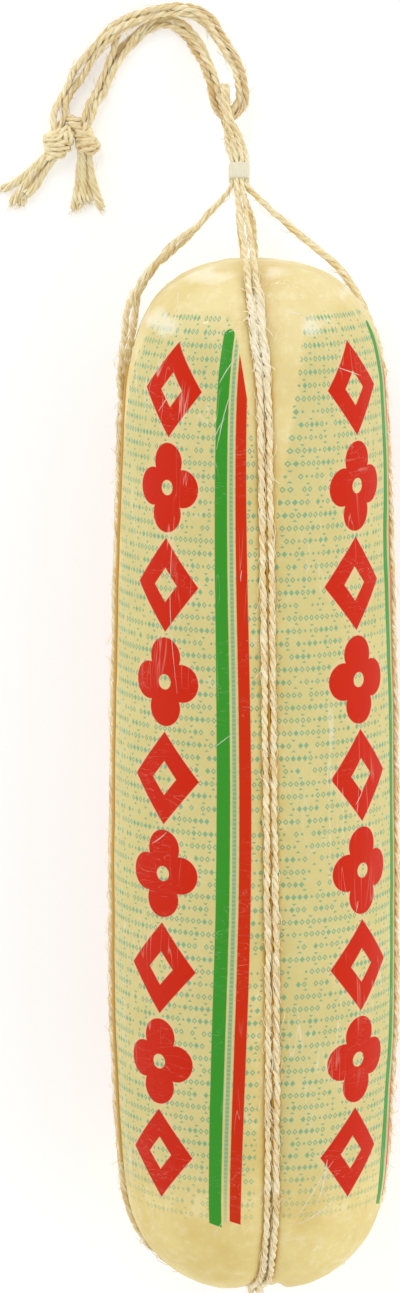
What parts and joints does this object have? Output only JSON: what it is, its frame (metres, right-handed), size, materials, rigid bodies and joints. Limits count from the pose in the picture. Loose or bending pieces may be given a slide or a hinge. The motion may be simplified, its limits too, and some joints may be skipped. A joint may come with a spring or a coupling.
{
  "type": "provolone cheese",
  "caption": "Long salami-shaped provolone in a clear printed film, bound lengthwise with paired twine that meets in a crimped clip below a knotted carrying cord",
  "frame": {"origin": "on the floor under the middle of the box round the cheese, its harness and the clip; the carrying cord beyond the clip is left out of that box", "axes": "the cheese lies along Y with its hanging end and the clip at +Y, +Z is its shown side and up, +X is the right of the picture"},
  "size_m": [0.1766, 0.5783, 0.1267],
  "materials": {
    "cheese": "satin clear film over pale rind",
    "clip": "off-white, crimped",
    "twine": "rough twisted plant fibre"
  },
  "bodies": {
    "root": {"cheese": "cheese", "clip": "clip", "harness_front_a": "twine", "harness_front_b": "twine", "harness_side_a": "twine", "harness_side_b": "twine", "bight_1": "twine", "bight_2": "twine", "bight_3": "twine", "bight_4": "twine", "carry_strand_1": "twine", "carry_strand_2": "twine", "carry_strand_3": "twine", "carry_strand_4": "twine", "knot_left": "twine", "knot_right": "twine", "tail_left": "twine", "tail_right": "twine"}
  },
  "joints": []
}
